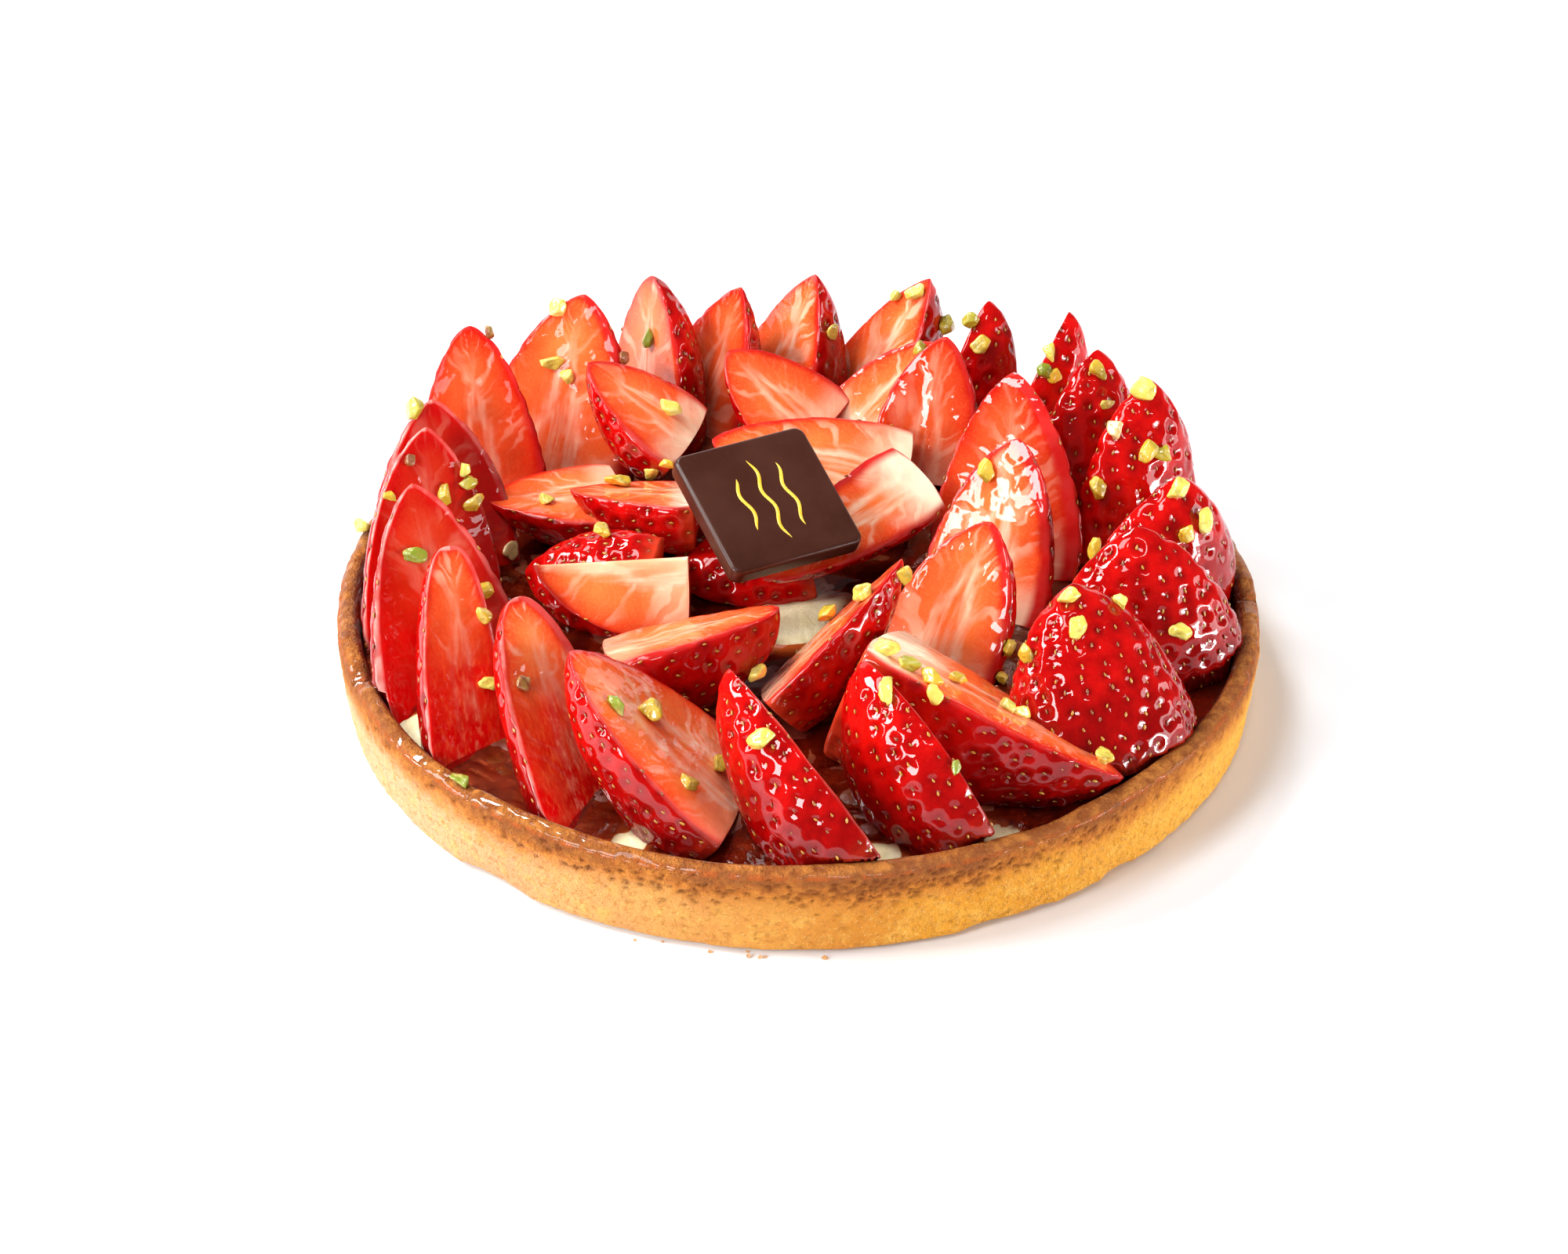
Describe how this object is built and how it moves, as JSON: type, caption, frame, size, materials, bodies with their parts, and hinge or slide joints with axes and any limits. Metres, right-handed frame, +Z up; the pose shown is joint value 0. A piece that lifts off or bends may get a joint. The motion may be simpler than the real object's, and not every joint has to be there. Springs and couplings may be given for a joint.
{
  "type": "strawberry tart",
  "caption": "Round shortcrust tart filled with cream, topped with a leaning ring of halved strawberries, a chocolate plaque and chopped pistachios; served whole or cut.",
  "frame": {"origin": "middle of the crust's flat underside", "axes": "+Z up, -Y towards the front of the tart, where the plaque's lower edge looks"},
  "size_m": [0.1794, 0.1796, 0.0511],
  "materials": {
    "crust": "matt baked shortcrust, golden with browner rim",
    "cream": "soft satin pale cream",
    "strawberry": "glazed fruit, high gloss, paler on the cut faces",
    "chocolate": "satin dark chocolate",
    "pistachio": "satin, yellow-green chopped nut",
    "glaze": "clear thin fruit glaze"
  },
  "bodies": {
    "root": {"crust": "crust", "cream": "cream", "berry_rim_01": "strawberry", "berry_rim_02": "strawberry", "berry_rim_03": "strawberry", "berry_rim_04": "strawberry", "berry_rim_05": "strawberry", "berry_rim_06": "strawberry", "berry_rim_07": "strawberry", "berry_rim_08": "strawberry", "berry_rim_09": "strawberry", "berry_rim_10": "strawberry", "berry_rim_11": "strawberry", "berry_rim_12": "strawberry", "berry_rim_13": "strawberry", "berry_rim_14": "strawberry", "berry_rim_15": "strawberry", "berry_rim_16": "strawberry", "berry_rim_17": "strawberry", "berry_rim_18": "strawberry", "berry_rim_19": "strawberry", "berry_rim_20": "strawberry", "berry_rim_21": "strawberry", "berry_rim_22": "strawberry", "berry_inner_01": "strawberry", "berry_inner_02": "strawberry", "berry_inner_03": "strawberry", "berry_inner_04": "strawberry", "berry_inner_05": "strawberry", "berry_inner_06": "strawberry", "berry_inner_07": "strawberry", "berry_inner_08": "strawberry", "berry_inner_09": "strawberry", "berry_inner_10": "strawberry", "berry_inner_11": "strawberry", "berry_inner_12": "strawberry", "berry_inner_13": "strawberry", "berry_wedge": "strawberry", "berry_top_01": "strawberry", "berry_top_02": "strawberry", "plaque": "chocolate"}
  },
  "joints": []
}
